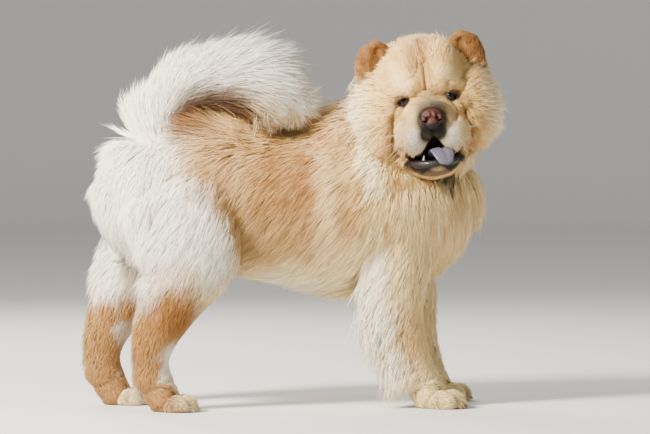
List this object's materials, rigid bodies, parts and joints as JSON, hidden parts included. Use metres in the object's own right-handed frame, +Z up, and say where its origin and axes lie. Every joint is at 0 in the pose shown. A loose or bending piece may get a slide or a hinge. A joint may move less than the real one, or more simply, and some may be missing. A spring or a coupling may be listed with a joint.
{
  "type": "chow chow dog",
  "caption": "Life-size still model of a long-coated chow chow standing with its head turned over its right shoulder, mouth open and tail curled over its back.",
  "frame": {"origin": "on the floor, under the middle of the bounds in X and Y", "axes": "+X the way the body faces, +Y the dog's left, +Z up"},
  "size_m": [0.7146, 0.3858, 0.663],
  "materials": {
    "mane_coat": "long cream coat washed with apricot",
    "saddle_coat": "apricot tan coat",
    "white_coat": "long white coat",
    "shank_coat": "orange brown coat",
    "ear_coat": "short orange brown coat",
    "lip_skin": "dark moist lip and short chin hair",
    "nose_leather": "dark liver brown, moist",
    "tongue": "grey lavender, moist",
    "tooth": "ivory",
    "eye": "dark brown, wet"
  },
  "bodies": {
    "root": {"canine": "tooth", "ear_left": "ear_coat", "ear_right": "ear_coat", "eye_left": "eye", "eye_right": "eye", "fore_leg_left": "mane_coat", "fore_leg_right": "mane_coat", "fore_paw_left": "mane_coat", "fore_paw_right": "mane_coat", "head": "mane_coat", "hind_paw_left": "mane_coat", "hind_paw_right": "mane_coat", "jaw": "lip_skin", "neck": "mane_coat", "nose": "nose_leather", "shank_left": "shank_coat", "shank_right": "shank_coat", "tail_plume": "white_coat", "tail_root": "white_coat", "thigh_left": "white_coat", "thigh_right": "white_coat", "tongue": "tongue", "torso": "saddle_coat"}
  },
  "joints": []
}
